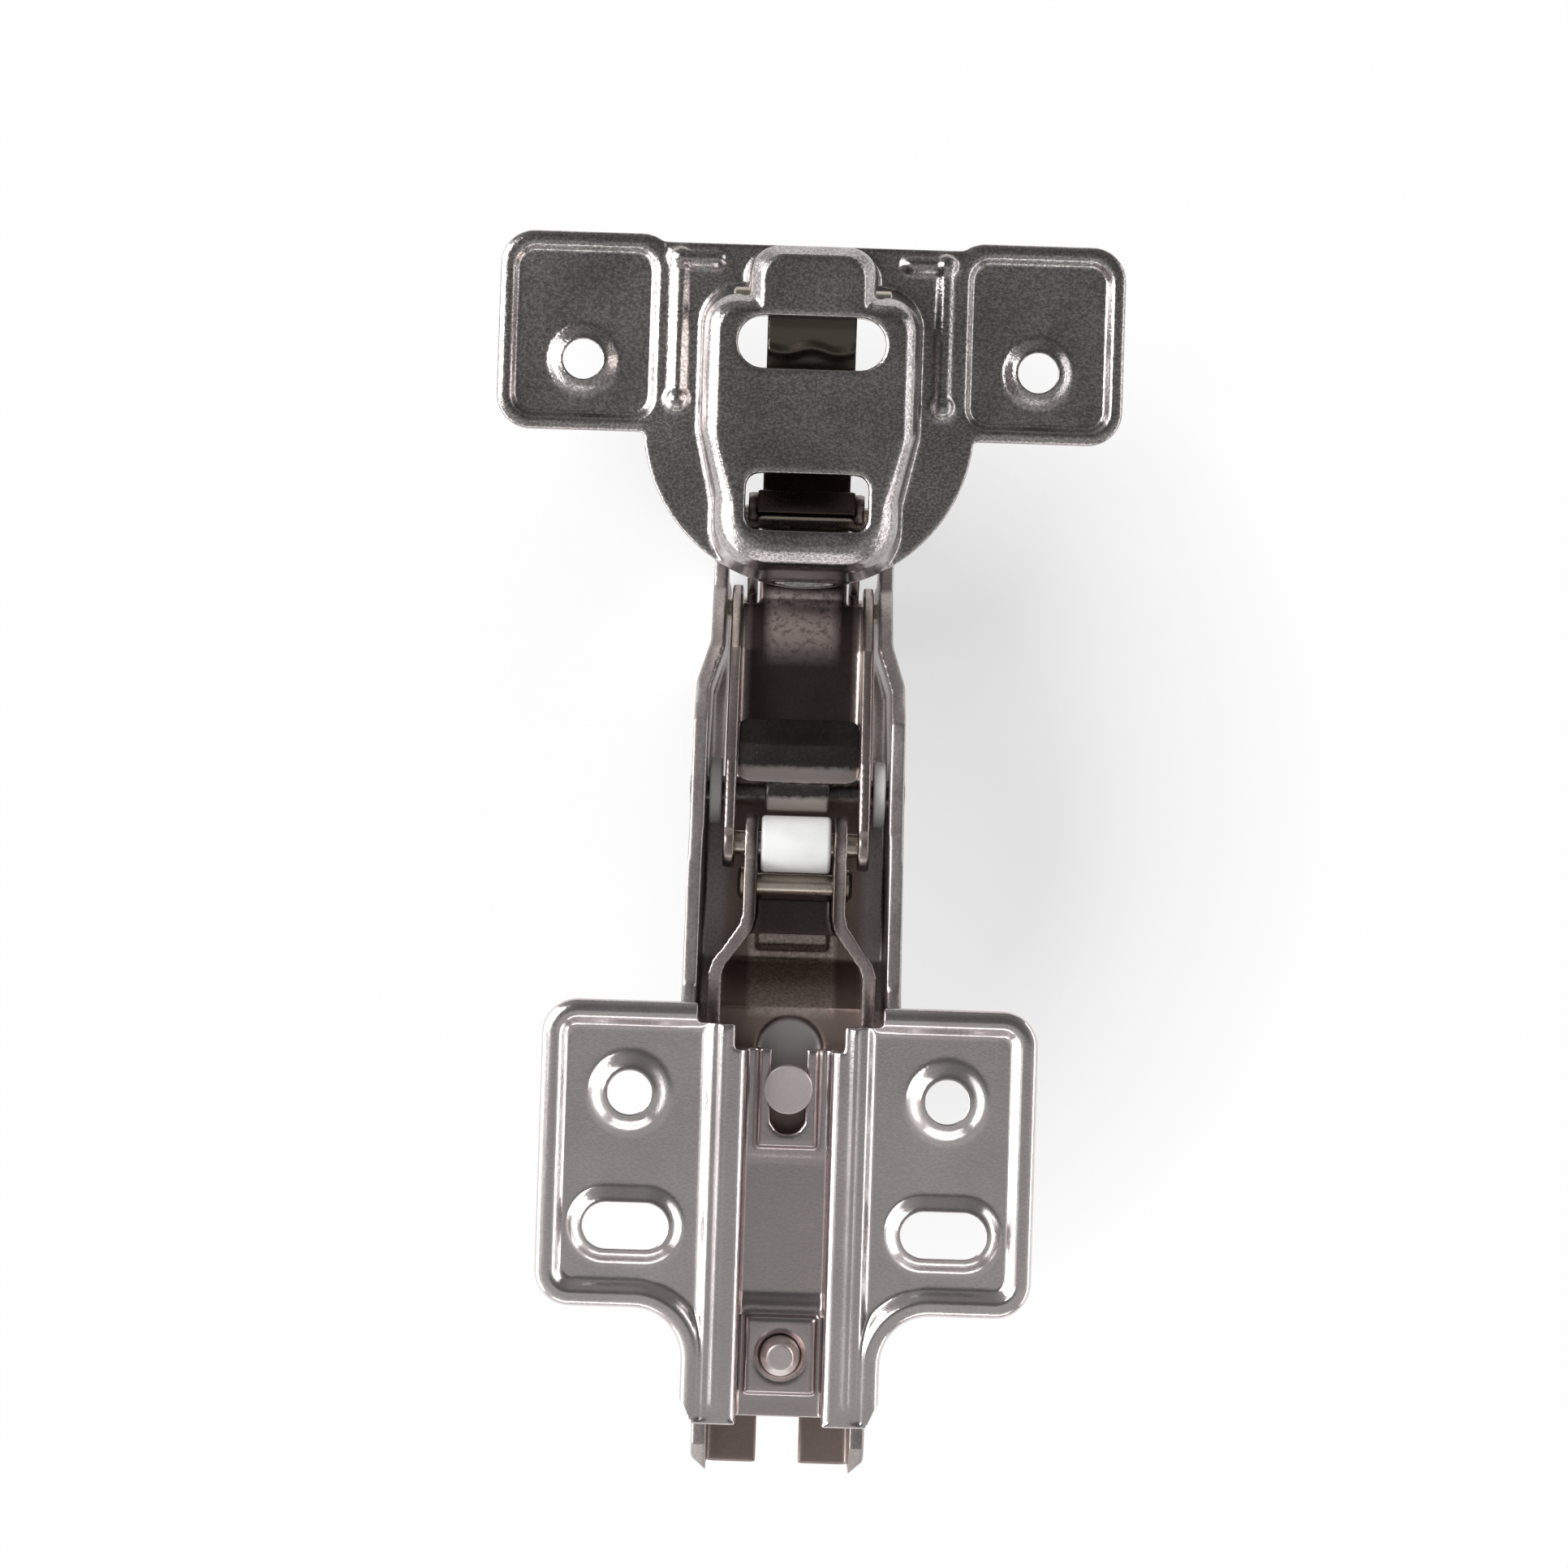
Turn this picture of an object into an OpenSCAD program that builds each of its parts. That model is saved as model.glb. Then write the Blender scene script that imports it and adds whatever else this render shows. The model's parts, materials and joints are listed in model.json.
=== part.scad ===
// Concealed cabinet hinge with a long arm, shown open, underside up.
// Frame: +X right, +Y from the plate to the cup, +Z out of the mounting face.
// The origin lies between the round plate holes.

/* [Mounting plate] */
// Overall width of the plate wings
plate_w = 50; // [44:0.5:56]
// Front edge of the wings
plate_front = 9.3; // [8:0.1:11]
// Rear edge of the wings
plate_wing_rear = -21.6; // [-24:0.1:-20]
// Rear edge of the plate
plate_rear = -33; // [-36:0.5:-31]
// Thickness of the plate sheet
plate_t = 1.2; // [1:0.1:1.5]
// Depth of the wing panel below the mounting face
plate_recess = 1; // [0.6:0.1:1.4]
// Width of the raised lip of the wings
plate_lip = 2.6; // [1.8:0.1:3.4]
// Corner radius of the wings
plate_corner = 3.6; // [2:0.1:5]
// Spacing of the screw holes across the plate
plate_pitch = 32; // [28:0.5:34]
// Diameter of the round screw holes
plate_hole_d = 4.4; // [3.8:0.1:4.6]
// Overall length of the slotted holes
slot_l = 8.6; // [6:0.1:9]
// Width of the slotted holes
slot_w = 4.6; // [4:0.1:4.8]
// Distance of the slots behind the round holes
slot_back = 13.4; // [12.6:0.1:14]
// Half width of the central channel
hat_half = 5.5; // [5.3:0.1:5.7]
// Depth of the central channel
hat_depth = 7; // [6.5:0.1:7.2]
// Front edge of the central channel
hat_front = 4.6; // [3:0.1:5.5]
// Radius of the ribs beside the channel
rib_r = 1.7; // [1.4:0.05:1.8]
// Half width of the neck behind the wings
neck_half = 10; // [9.4:0.1:10.8]
// Radius between the wings and the neck
neck_fillet = 5; // [3:0.1:6]

/* [Arm] */
// Thickness of the arm sheet
arm_t = 1.5; // [1.2:0.1:1.6]
// Outside width of the arm over the linkage
arm_w = 22.5; // [21.5:0.5:24]
// Outside width of the arm over the plate
arm_rear_w = 17.5; // [17.3:0.1:18]
// Outside width of the arm nose
nose_w = 19; // [18.8:0.1:20]
// Inward run of each arm wall towards the nose
arm_taper = 0.5; // [0:0.1:0.6]
// Rear end of the arm
arm_rear = -38.4; // [-42:0.1:-36]
// Depth of the arm web over the plate
arm_web_z = -11.5; // [-12:0.1:-11]
// Depth of the arm web under the linkage
arm_deep_z = -18.5; // [-19.5:0.1:-18]
// Width of the open slot at the rear
arm_slot_w = 4.4; // [4.3:0.1:5]

/* [Cup] */
// Diameter of the round cup edge
cup_d = 35; // [34.5:0.1:35.5]
// Distance of the cup centre from the plate holes
cup_y = 70; // [69.5:0.1:70.5]
// Seat height of the cup flange
flange_z = -17; // [-17.4:0.1:-16.8]
// Thickness of the cup sheet
cup_t = 1.2; // [1:0.1:1.4]
// Depth of the bowl under the seat
bowl_depth = 11.5; // [11:0.1:12]
// Spacing of the cup screw holes
cup_pitch = 48; // [45:0.5:50]
// Distance of the cup screw holes beyond the cup centre
cup_hole_off = 6; // [5:0.1:7]
// Diameter of the cup screw holes
cup_hole_d = 4.2; // [3.8:0.1:4.6]
// Overall width across the wings
cup_w = 66; // [62:0.5:70]
// Depth of the wing panel below the seat
cup_recess = 0.8; // [0.5:0.1:1]

/* [Linkage] */
// Diameter of the link pins
pin_d = 2.5; // [2.2:0.1:2.6]
// Diameter of the inner link axle
axle_d = 3; // [2.6:0.1:3.2]
// Outside width of the inner link
link_w = 15; // [14.6:0.1:15.2]
// Thickness of the link sheet
link_t = 1.2; // [1:0.1:1.3]
// Half width of the link tongue in the cup
tongue_half = 4.6; // [4:0.1:4.6]
// Thickness of the outer link plates
outer_t = 1.1; // [0.9:0.1:1.1]
// Diameter of the nylon roller
roller_d = 5.8; // [5:0.1:6]
// Length of the nylon roller
roller_l = 7.2; // [6:0.1:7.3]
// Thickness of the spring fork sheet
fork_t = 1.4; // [1.2:0.1:1.4]
// Radial running clearance of the pins
fit = 0.05; // [0.02:0.01:0.08]

/* [Screws] */
// Thread diameter of the fixing screw
fix_d = 4; // [3.5:0.1:4.2]
// Thread diameter of the adjusting screw
adj_d = 4; // [3.6:0.1:4.2]
// Diameter of the adjusting screw foot
foot_d = 5; // [4.6:0.1:5.4]
// Diameter of the screw heads
head_d = 7; // [6:0.1:8]

/* [Hidden] */
$fn = 48;
e = 0.01;
// pivots as Y and Z
piv_c = [30.9, -11];
piv_a = [51, -29];
piv_n = [59.4, -11.5];
piv_f = [81.8, -10];
piv_r = [25.5, -8];
piv_k = [21.4, -9.6];
adj_y = 0.5;
fix_y = -26.6;
panel_z = -plate_recess;
hat_z = -hat_depth;
pin_r = pin_d / 2;
axle_r = axle_d / 2;
wing_y = (plate_front + plate_wing_rear) / 2;
wing_l = plate_front - plate_wing_rear;
cup_bot = flange_z + bowl_depth;
wing_w = (cup_w - 29) / 2;
wing_x = (cup_w + 29) / 4;
cup_hole_y = cup_y + cup_hole_off;
out_link = piv_n - piv_a;
out_len = norm(out_link);
out_ang = atan2(out_link[1], out_link[0]);
play = 3.9;

// side profile in Y and Z given a width along X
module side(x0, x1) {
    translate([x0, 0, 0])
        rotate([90, 0, 90])
            linear_extrude(x1 - x0)
                children();
}

// bar along X between two positions
module xbar(r, x0, x1, p) {
    translate([x0, p[0], p[1]])
        rotate([0, 90, 0])
            cylinder(r = r, h = x1 - x0);
}

// rectangle with round corners about a centre
module rrect(w, l, r) {
    square([w - 2 * r, l], center = true);
    square([w, l - 2 * r], center = true);
    for (sx = [-1, 1], sy = [-1, 1])
        translate([sx * (w / 2 - r), sy * (l / 2 - r)])
            circle(r);
}

module both() {
    children();
    mirror([1, 0, 0])
        children();
}

// plan outline of the mounting plate
module plate_outline() {
    fx = neck_half + neck_fillet;
    fy = plate_wing_rear - neck_fillet;
    translate([0, wing_y])
        rrect(plate_w, wing_l, plate_corner);
    translate([-neck_half, plate_rear + 2.4])
        square([2 * neck_half, plate_wing_rear - plate_rear + 2]);
    polygon([[-neck_half, plate_rear + 2.5], [-neck_half + 1.2, plate_rear], [neck_half - 1.2, plate_rear],
        [neck_half, plate_rear + 2.5]]);
    both()
        difference() {
            translate([neck_half - 0.1, fy])
                square([neck_fillet + 0.1, neck_fillet + 0.1]);
            translate([fx, fy])
                circle(neck_fillet);
        }
}

// rounded rib along the channel, flat below
module rib(x) {
    translate([0, 7, 0])
        rotate([90, 0, 0])
            linear_extrude(5 - plate_rear)
                intersection() {
                    translate([x, 0.35 - rib_r])
                        circle(rib_r);
                    translate([x - rib_r, -plate_t])
                        square([2 * rib_r, plate_t + 1]);
                }
}

// recessed panel of one wing
module plate_panel(grow) {
    x0 = 9.6 - grow;
    x1 = plate_w / 2 - plate_lip + grow;
    translate([(x0 + x1) / 2, wing_y])
        rrect(x1 - x0, wing_l - 2 * plate_lip + 2 * grow, 2);
}

// pressed cone round a slotted hole
module slot_cone(r0, r1, h, run) {
    for (s = [-1, 1])
        translate([s * run, 0, 0])
            cylinder(r1 = r0, r2 = r1, h = h);
    rotate([90, 0, 90])
        translate([0, 0, -run])
            linear_extrude(2 * run)
                polygon([[-r0, 0], [r0, 0], [r1, h], [-r1, h]]);
}

module mounting_plate() {
    run = (slot_l - slot_w) / 2;
    color("silver")
    difference() {
        union() {
            translate([0, 0, -plate_t])
                linear_extrude(plate_t)
                    plate_outline();
            both()
                translate([0, 0, panel_z - plate_t])
                    linear_extrude(plate_recess + plate_t - 0.3)
                        plate_panel(1);
            both()
                rib(hat_half + rib_r - 0.1);
            both()
                translate([hat_half - plate_t, plate_rear, hat_z - plate_t])
                    cube([plate_t, hat_front - plate_rear, hat_depth + plate_t]);
            translate([-hat_half, plate_rear, hat_z - plate_t])
                cube([2 * hat_half, hat_front - plate_rear, plate_t]);
            translate([-3.6, fix_y - 3.95, hat_z - e])
                cube([7.2, 7.9, 1.2]);
            translate([-3, -5.4, hat_z - e])
                cube([6, hat_front + 5.4, 0.7]);
        }
        // recess of the wing panels
        both()
            translate([0, 0, panel_z])
                linear_extrude(2)
                    difference() {
                        plate_panel(0);
                        translate([plate_pitch / 2, 0])
                            circle(3.95);
                        translate([plate_pitch / 2, -slot_back])
                            rrect(2 * run + 7.9, 7.9, 3.9);
                    }
        // channel between the ribs
        translate([-hat_half + plate_t, plate_rear - 1, hat_z + 1.25])
            cube([2 * (hat_half - plate_t), 60, 12]);
        translate([-hat_half + plate_t, -21.9, hat_z])
            cube([2 * (hat_half - plate_t), 16.4, 12]);
        for (s = [[-40, -30.6], [-5.5, 20]])
            both()
                translate([3, s[0], hat_z])
                    cube([hat_half - plate_t - 3, s[1] - s[0], 12]);
        translate([-hat_half, hat_front, -20])
            cube([2 * hat_half, 12, 30]);
        translate([-9.4, 7.2, -20])
            cube([18.8, 12, 30]);
        // pressed middle panel
        translate([-3.4, -20.8, hat_z - 0.4])
            cube([6.8, 14.2, 2]);
        // open slot for the adjusting screw
        translate([0, -2.35, -20])
            cylinder(r = 1.75, h = 30);
        translate([-1.75, -2.35, -20])
            cube([3.5, 20, 30]);
        // thread of the fixing screw
        translate([0, fix_y, -20])
            cylinder(r = fix_d / 2 + fit, h = 30);
        translate([0, fix_y, hat_z + 0.7])
            cylinder(r1 = fix_d / 2, r2 = fix_d / 2 + 0.9, h = 0.6);
        // screw holes pressed towards the panel
        both()
            translate([plate_pitch / 2, 0, 0]) {
                translate([0, 0, -5])
                    cylinder(r = plate_hole_d / 2, h = 10);
                translate([0, 0, panel_z - plate_t - e])
                    cylinder(r1 = 3.5, r2 = plate_hole_d / 2, h = plate_t + 0.3);
                dimple_trim(plate_hole_d / 2);
            }
        both()
            translate([plate_pitch / 2, -slot_back, 0]) {
                for (s = [-1, 1])
                    translate([s * run, 0, -5])
                        cylinder(r = slot_w / 2, h = 10);
                translate([-run, -slot_w / 2, -5])
                    cube([2 * run, slot_w, 10]);
                translate([0, 0, panel_z - plate_t - e])
                    slot_cone(3.5, slot_w / 2, plate_t + 0.3, run);
            }
    }
}

// bevel round the outside of a pressed hole
module dimple_trim(r) {
    translate([0, 0, panel_z])
        difference() {
            cylinder(r = 4, h = plate_recess + 1);
            translate([0, 0, -e])
                cylinder(r1 = 3.95, r2 = r + 0.75, h = plate_recess + 2 * e);
        }
}

// plan outline of the arm shrunk by an inset on both sides
module arm_plan(inset) {
    a = arm_rear_w / 2 - inset;
    b = arm_w / 2 - inset;
    c = nose_w / 2 - inset;
    polygon([[a - 1.6, arm_rear], [a, arm_rear + 1.6], [a, 0.5], [b, 5.5], [b - arm_taper, 42],
        [c, 46.5], [c, 60], [-c, 60], [-c, 46.5], [-b + arm_taper, 42], [-b, 5.5], [-a, 0.5],
        [-a, arm_rear + 1.6], [-a + 1.6, arm_rear]]);
}

// side outline of the arm walls
module arm_profile() {
    difference() {
        union() {
            polygon([[arm_rear, arm_web_z - arm_t], [arm_rear, -5], [arm_rear + 3, -2.8], [9, -2.8],
                [11, -4.6], [38, -4.6], [46, -12], [52.6, -19.6], [57, -21], [57.4, -28],
                [53, -32.6], [46, -32.6], [33, arm_deep_z - arm_t], [13, arm_deep_z - arm_t],
                [8, arm_web_z - arm_t]]);
            translate(piv_a)
                circle(3.6);
        }
        translate(piv_a)
            circle(pin_r);
        translate(piv_c)
            circle(axle_r);
    }
}

module arm() {
    color("silver") {
        intersection() {
            side(-20, 20)
                arm_profile();
            translate([0, 0, -50])
                linear_extrude(60)
                    difference() {
                        arm_plan(0);
                        arm_plan_inner();
                    }
        }
        // ledges beside the opening for the inner link
        intersection() {
            both()
                side(link_w / 2 + 0.25, 20)
                    polygon([[28, arm_deep_z], [33.4, arm_deep_z], [46.5, -31.1], [53.6, -31.1], [53, -32.6],
                        [46, -32.6], [33, arm_deep_z - arm_t], [28, arm_deep_z - arm_t]]);
            translate([0, 0, -50])
                linear_extrude(60)
                    arm_plan(0.2);
        }
        difference() {
            intersection() {
                side(-20, 20)
                    polygon([[arm_rear, arm_web_z - arm_t], [arm_rear, arm_web_z], [8.6, arm_web_z],
                        [13.4, arm_deep_z], [31, arm_deep_z], [31, arm_deep_z - arm_t],
                        [12.8, arm_deep_z - arm_t], [8, arm_web_z - arm_t]]);
                translate([0, 0, -50])
                    linear_extrude(60)
                        arm_plan(0.2);
            }
            // open slot for the fixing screw
            translate([-arm_slot_w / 2, arm_rear - 5, -30])
                cube([arm_slot_w, fix_y + 3 - arm_rear + 5, 30]);
            translate([0, fix_y + 3, -30])
                cylinder(r = arm_slot_w / 2, h = 30);
            // thread of the adjusting screw
            translate([0, adj_y, -30])
                cylinder(r = adj_d / 2 + fit, h = 40);
            // round seat before the adjusting screw
            translate([0, 4.3, arm_web_z - 0.6])
                cylinder(r = 3.4, h = 10);
            // pressed middle panel
            translate([-3.8, 14.6, arm_deep_z - 0.5])
                cube([7.6, 12.6, 2]);
        }
    }
}

// inside of the arm channel
module arm_plan_inner() {
    a = arm_rear_w / 2 - arm_t;
    b = arm_w / 2 - arm_t;
    c = nose_w / 2 - arm_t;
    polygon([[a, arm_rear - 5], [a, 1], [b, 6], [b - arm_taper, 41.6], [c, 46.1], [c, 70],
        [-c, 70], [-c, 46.1], [-b + arm_taper, 41.6], [-b, 6], [-a, 1], [-a, arm_rear - 5]]);
}

// plan outline of the cup flange
module flange_outline() {
    difference() {
        translate([0, cup_y])
            circle(r = cup_d / 2, $fn = 96);
        translate([-30, cup_y + 8])
            square([60, 30]);
    }
    translate([-16.5, cup_y])
        square([33, 18.7]);
    both()
        translate([wing_x, cup_y + 9])
            rrect(wing_w, 21, 3.6);
}

// recessed panel of one cup wing
module wing_panel(grow) {
    translate([wing_x + 0.4, cup_y + 9])
        rrect(wing_w - 4.4 + 2 * grow, 21 - 4.4 + 2 * grow, 2);
}

// one level of a rounded bowl outline, half widths at the wide part and the rear end
module bowl_slab(w, front, r, z) {
    translate([0, 0, z])
        linear_extrude(e) {
            translate([0, cup_y + (front - 5) / 2])
                rrect(2 * w, front + 5, r);
            translate([0, cup_y - 7])
                square([2 * w - 4, 6], center = true);
        }
}

module bowl_end(w, rear, r, z) {
    translate([0, cup_y + (rear + 2) / 2, z])
        linear_extrude(e)
            rrect(2 * w, 2 - rear, r);
}

// one level of the front tongue of the bowl
module bowl_tongue(w, front, r, z) {
    translate([0, cup_y + (front + 8) / 2, z])
        linear_extrude(e)
            rrect(2 * w, front - 8, r);
}

// bowl solid reduced by an inset
module bowl(s, top) {
    foot = flange_z - (s > 0 ? 3 : 0);
    hull() {
        bowl_slab(11.6 - s, 14.4 - s, 4.4, foot);
        bowl_slab(11.1 - s, 12 - s, 3.4, top - 2.2);
        bowl_slab(10.6 - s, 11.2 - s, 2.8, top - 0.8);
        bowl_slab(9.6 - s, 10.2 - s, 2.2, top - e);
    }
    hull() {
        bowl_end(9.9 - s, -16.7 + s, 5.4, foot);
        bowl_end(9.5 - s, -16.4 + s, 5.4, top - 2.6);
        bowl_end(8.9 - s, -15.8 + s, 5, top - 1);
        bowl_end(7.6 - s, -14.4 + s, 4, top - e);
    }
    hull() {
        bowl_tongue(7 - s, 17.8 - s, 2.8 - s, foot);
        bowl_tongue(6.4 - s, 17 - s, 2.8 - s, top - 1.4);
        bowl_tongue(5.2 - s, 15.8 - s, 2.4 - s, top - e);
    }
}

module hinge_cup() {
    zp = flange_z - cup_recess;
    color("silver")
    difference() {
        union() {
            translate([0, 0, flange_z - cup_t])
                linear_extrude(cup_t)
                    flange_outline();
            both()
                translate([0, 0, zp - cup_t])
                    linear_extrude(cup_recess + cup_t - 0.3)
                        wing_panel(1);
            bowl(0, cup_bot);
            // stiffening beads at the wing roots
            both()
                for (p = [[10.2, 17, 1.1], [14, 17, 1.4], [14, 2, 1.4]])
                    translate([p[0], cup_y + p[1], flange_z - 0.5])
                        sphere(r = p[2]);
            both() {
                xbar(1.1, 10.2, 14, [cup_y + 17, flange_z - 0.5]);
                translate([14, cup_y + 2, flange_z - 0.5])
                    rotate([-90, 0, 0])
                        cylinder(r = 1, h = 15);
            }
        }
        bowl(cup_t, cup_bot - cup_t);
        // recess of the wing panels
        both()
            translate([0, 0, zp])
                linear_extrude(3)
                    difference() {
                        wing_panel(0);
                        translate([cup_pitch / 2, cup_hole_y])
                            circle(3.95);
                    }
        // screw holes pressed towards the door
        both()
            translate([cup_pitch / 2, cup_hole_y, 0]) {
                translate([0, 0, flange_z - 5])
                    cylinder(r = cup_hole_d / 2, h = 10);
                translate([0, 0, zp - cup_t - e])
                    cylinder(r1 = 3.5, r2 = cup_hole_d / 2, h = cup_t + 0.2);
                translate([0, 0, zp])
                    difference() {
                        cylinder(r = 4, h = cup_recess + 1);
                        translate([0, 0, -e])
                            cylinder(r1 = 3.95, r2 = cup_hole_d / 2 + 0.75, h = cup_recess + 2 * e);
                    }
            }
        // openings in the bowl bottom
        translate([0, cup_y + 6.9, cup_bot - 3])
            linear_extrude(6)
                rrect(15.2, 5.4, 2.69);
        translate([0, piv_n[0] + 1.1, cup_bot - 3])
            linear_extrude(6)
                rrect(12.6, 5.8, 1.4);
        // slits beside the front tongue
        both()
            translate([6.5, cup_y + 11.8, cup_bot - 5])
                cube([0.7, 3.4, 9]);
        // seats of the pins
        xbar(pin_r, -8.8, 8.8, piv_n);
        xbar(pin_r, -8.2, 8.2, piv_f);
    }
}

// side outline of the inner link walls
module link_profile() {
    difference() {
        union() {
            polygon([[24, -6.6], [27, -5.2], [34, -7], [46, -13.4], [52, -19.4], [53, -21],
                [51, -21.6], [46, -18.4], [38, -16.6], [34, -14.6], [27, -10.8], [24.4, -10]]);
            translate(piv_r)
                circle(2.6);
            translate(piv_c)
                circle(4);
        }
        translate(piv_c)
            circle(axle_r + fit);
        translate(piv_r)
            circle(pin_r);
    }
}

// side outline of the curved strip that rises into the cup
module tongue_profile() {
    difference() {
        union() {
            polygon([[38, -16], [46, -17.6], [51.5, -20.4], [55.6, -20.6], [60, -18.2], [66, -14],
                [71, -10.7], [75, -8.7], [78.5, -7.8], [81.8, -7.6], [81.8, -8.8], [78.5, -9.1], [75, -10],
                [71, -12.2], [66, -15.5], [60, -19.6], [56, -21.9], [51.2, -21.7], [46, -18.8], [38, -17.2]]);
            translate(piv_f)
                circle(2.45);
        }
        translate(piv_f)
            circle(pin_r + fit);
    }
}

module inner_link() {
    h = link_w / 2;
    color("silver") {
        both()
            side(h - link_t, h)
                link_profile();
        side(-tongue_half, tongue_half)
            tongue_profile();
        side(-h + 0.2, h - 0.2)
            polygon([[38, -16], [46, -17.6], [51, -20.15], [51, -21.5], [46, -18.8], [38, -17.2]]);
    }
}

// hooked plate of the outer link, drawn along its own length
module outer_plate() {
    difference() {
        union() {
            translate([0, -2.5])
                square([out_len, 2.2]);
            circle(2.9);
            translate([out_len, -0.1])
                circle(2.5);
        }
        circle(pin_r + fit);
        translate([out_len, -0.1])
            circle(pin_r + 0.3);
        translate([out_len - pin_r - 0.4, -0.1])
            square([2 * pin_r + 0.7, play]);
    }
}

module outer_link() {
    x0 = tongue_half + 0.3;
    color("silver") {
        both()
            side(x0, x0 + outer_t)
                translate(piv_a)
                    rotate(out_ang)
                        outer_plate();
        side(-x0 - 0.1, x0 + 0.1)
            translate(piv_a)
                rotate(out_ang)
                    translate([out_len + pin_r + 0.55, -1.8])
                        square([0.9, 2.8]);
    }
}

// plan outline of the spring fork, shrunk by an inset
module fork_plan(i) {
    a = 8.6 - i;
    b = 5.25 - i;
    polygon([[a, 7], [a, 12.2], [a - 0.4, 13.5], [a - 1.2, 14.5], [b + 1, 16.2], [b + 0.3, 17.2], [b, 18.6],
        [b, 40], [-b, 40], [-b, 18.6], [-b - 0.3, 17.2], [-b - 1, 16.2], [-a + 1.2, 14.5],
        [-a + 0.4, 13.5], [-a, 12.2], [-a, 7]]);
}

module spring_fork() {
    color("silver") {
        difference() {
            intersection() {
                side(-20, 20)
                    difference() {
                        union() {
                            polygon([[7, -10.9], [7, -7], [12, -5.6], [22, -5.6], [25.5, -5.2], [25.5, -11],
                                [21, -12.6], [17, -13.4], [13, -13], [9.8, -10.9]]);
                            translate(piv_r)
                                circle(3.1);
                        }
                        translate(piv_r)
                            circle(pin_r + fit);
                        translate(piv_k)
                            circle(1.1);
                    }
                translate([0, 0, -50])
                    linear_extrude(60)
                        difference() {
                            fork_plan(0);
                            fork_inner();
                        }
            }
        }
        intersection() {
            translate([-20, 16.2, -13.4])
                cube([40, 3.6, fork_t]);
            translate([0, 0, -50])
                linear_extrude(60)
                    fork_plan(0.2);
        }
    }
}

// space between the fork walls
module fork_inner() {
    a = 8.6 - fork_t;
    b = 5.25 - fork_t;
    polygon([[a, 0], [a, 11.9], [a - 0.3, 12.9], [a - 0.9, 13.7], [b + 1.1, 15.5], [b + 0.3, 16.7], [b, 18.2],
        [b, 50], [-b, 50], [-b, 18.2], [-b - 0.3, 16.7], [-b - 1.1, 15.5], [-a + 0.9, 13.7],
        [-a + 0.3, 12.9], [-a, 11.9], [-a, 0]]);
}

module leaf_spring() {
    color("dimgray") {
        intersection() {
            side(-5.6, 5.6)
                polygon([[38.6, -14.4], [38.6, -15.7], [37.6, -15.6], [35, -11.4], [33, -9.4], [31.8, -9.2],
                    [31.8, -7.9], [33.6, -8.1], [35.8, -10], [37.2, -12.4]]);
            translate([0, 35.2, -20])
                linear_extrude(20)
                    rrect(11.2, 6.8, 1);
        }
        side(-3.3, 3.3)
            polygon([[33, -8.4], [33, -9.3], [30.9, -9.2], [29.7, -9.6], [29.1, -10.8], [28.5, -10.6],
                [28.9, -9], [30.4, -8.3]]);
    }
}

module nylon_roller() {
    color("white")
    difference() {
        xbar(roller_d / 2, -roller_l / 2, roller_l / 2, piv_r);
        xbar(pin_r + fit, -9, 9, piv_r);
    }
}

module roller_axle() {
    color("silver")
        xbar(pin_r, -link_w / 2, link_w / 2, piv_r);
}

module fork_pin() {
    color("silver") {
        xbar(1.1, -5.6, 5.6, piv_k);
        xbar(1.7, -5.9, -5.25, piv_k);
        xbar(1.7, 5.25, 5.9, piv_k);
    }
}

module inner_link_axle() {
    color("silver")
        xbar(axle_r, -arm_w / 2 - 0.4, arm_w / 2 + 0.4, piv_c);
}

module washer(x0, x1) {
    color("white")
    difference() {
        xbar(3.4, x0, x1, piv_c);
        xbar(axle_r + fit, x0 - 1, x1 + 1, piv_c);
    }
}

module left_washer() {
    washer(-arm_w / 2 + arm_t + arm_taper + 0.2, -link_w / 2 - 0.3);
}

module right_washer() {
    washer(link_w / 2 + 0.3, arm_w / 2 - arm_t - arm_taper - 0.2);
}

// riveted stub that carries one plate of the outer link
module nose_rivet() {
    xbar(pin_r, tongue_half + 0.3, nose_w / 2 + 0.1, piv_a);
    xbar(2, nose_w / 2, nose_w / 2 + 0.6, piv_a);
}

module left_nose_rivet() {
    color("silver")
        mirror([1, 0, 0])
            nose_rivet();
}

module right_nose_rivet() {
    color("silver")
        nose_rivet();
}

module cup_front_pin() {
    color("silver")
        xbar(pin_r, -8.8, 8.8, piv_n);
}

module cup_rear_pin() {
    color("silver")
        xbar(pin_r, -8.2, 8.2, piv_f);
}

// cross recess of a screw head
module recess(z) {
    translate([0, 0, z]) {
        cube([4.2, 1.1, 2.4], center = true);
        cube([1.1, 4.2, 2.4], center = true);
    }
}

module adjusting_screw() {
    color("silver")
    translate([0, adj_y, 0])
        difference() {
            union() {
                translate([0, 0, hat_z + 1.3])
                    cylinder(r = foot_d / 2, h = 1);
                translate([0, 0, hat_z - plate_t - 0.9])
                    cylinder(r = 1.55, h = plate_t + 2.4);
                translate([0, 0, arm_web_z - arm_t - 2])
                    cylinder(r = adj_d / 2, h = arm_t + 2 + hat_z - plate_t - 0.4 - arm_web_z);
            }
            recess(arm_web_z - arm_t - 2);
        }
}

module fixing_screw() {
    color("silver")
    translate([0, fix_y, 0])
        difference() {
            union() {
                translate([0, 0, arm_web_z - arm_t - 1.4])
                    cylinder(r = fix_d / 2, h = 9.6);
                translate([0, 0, arm_web_z - arm_t + 8.2])
                    cylinder(r1 = fix_d / 2, r2 = fix_d / 2 - 0.7, h = 0.8);
                translate([0, 0, arm_web_z - arm_t - 3.9])
                    cylinder(r = head_d / 2, h = 2.6);
            }
            recess(arm_web_z - arm_t - 3.9);
        }
}

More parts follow.
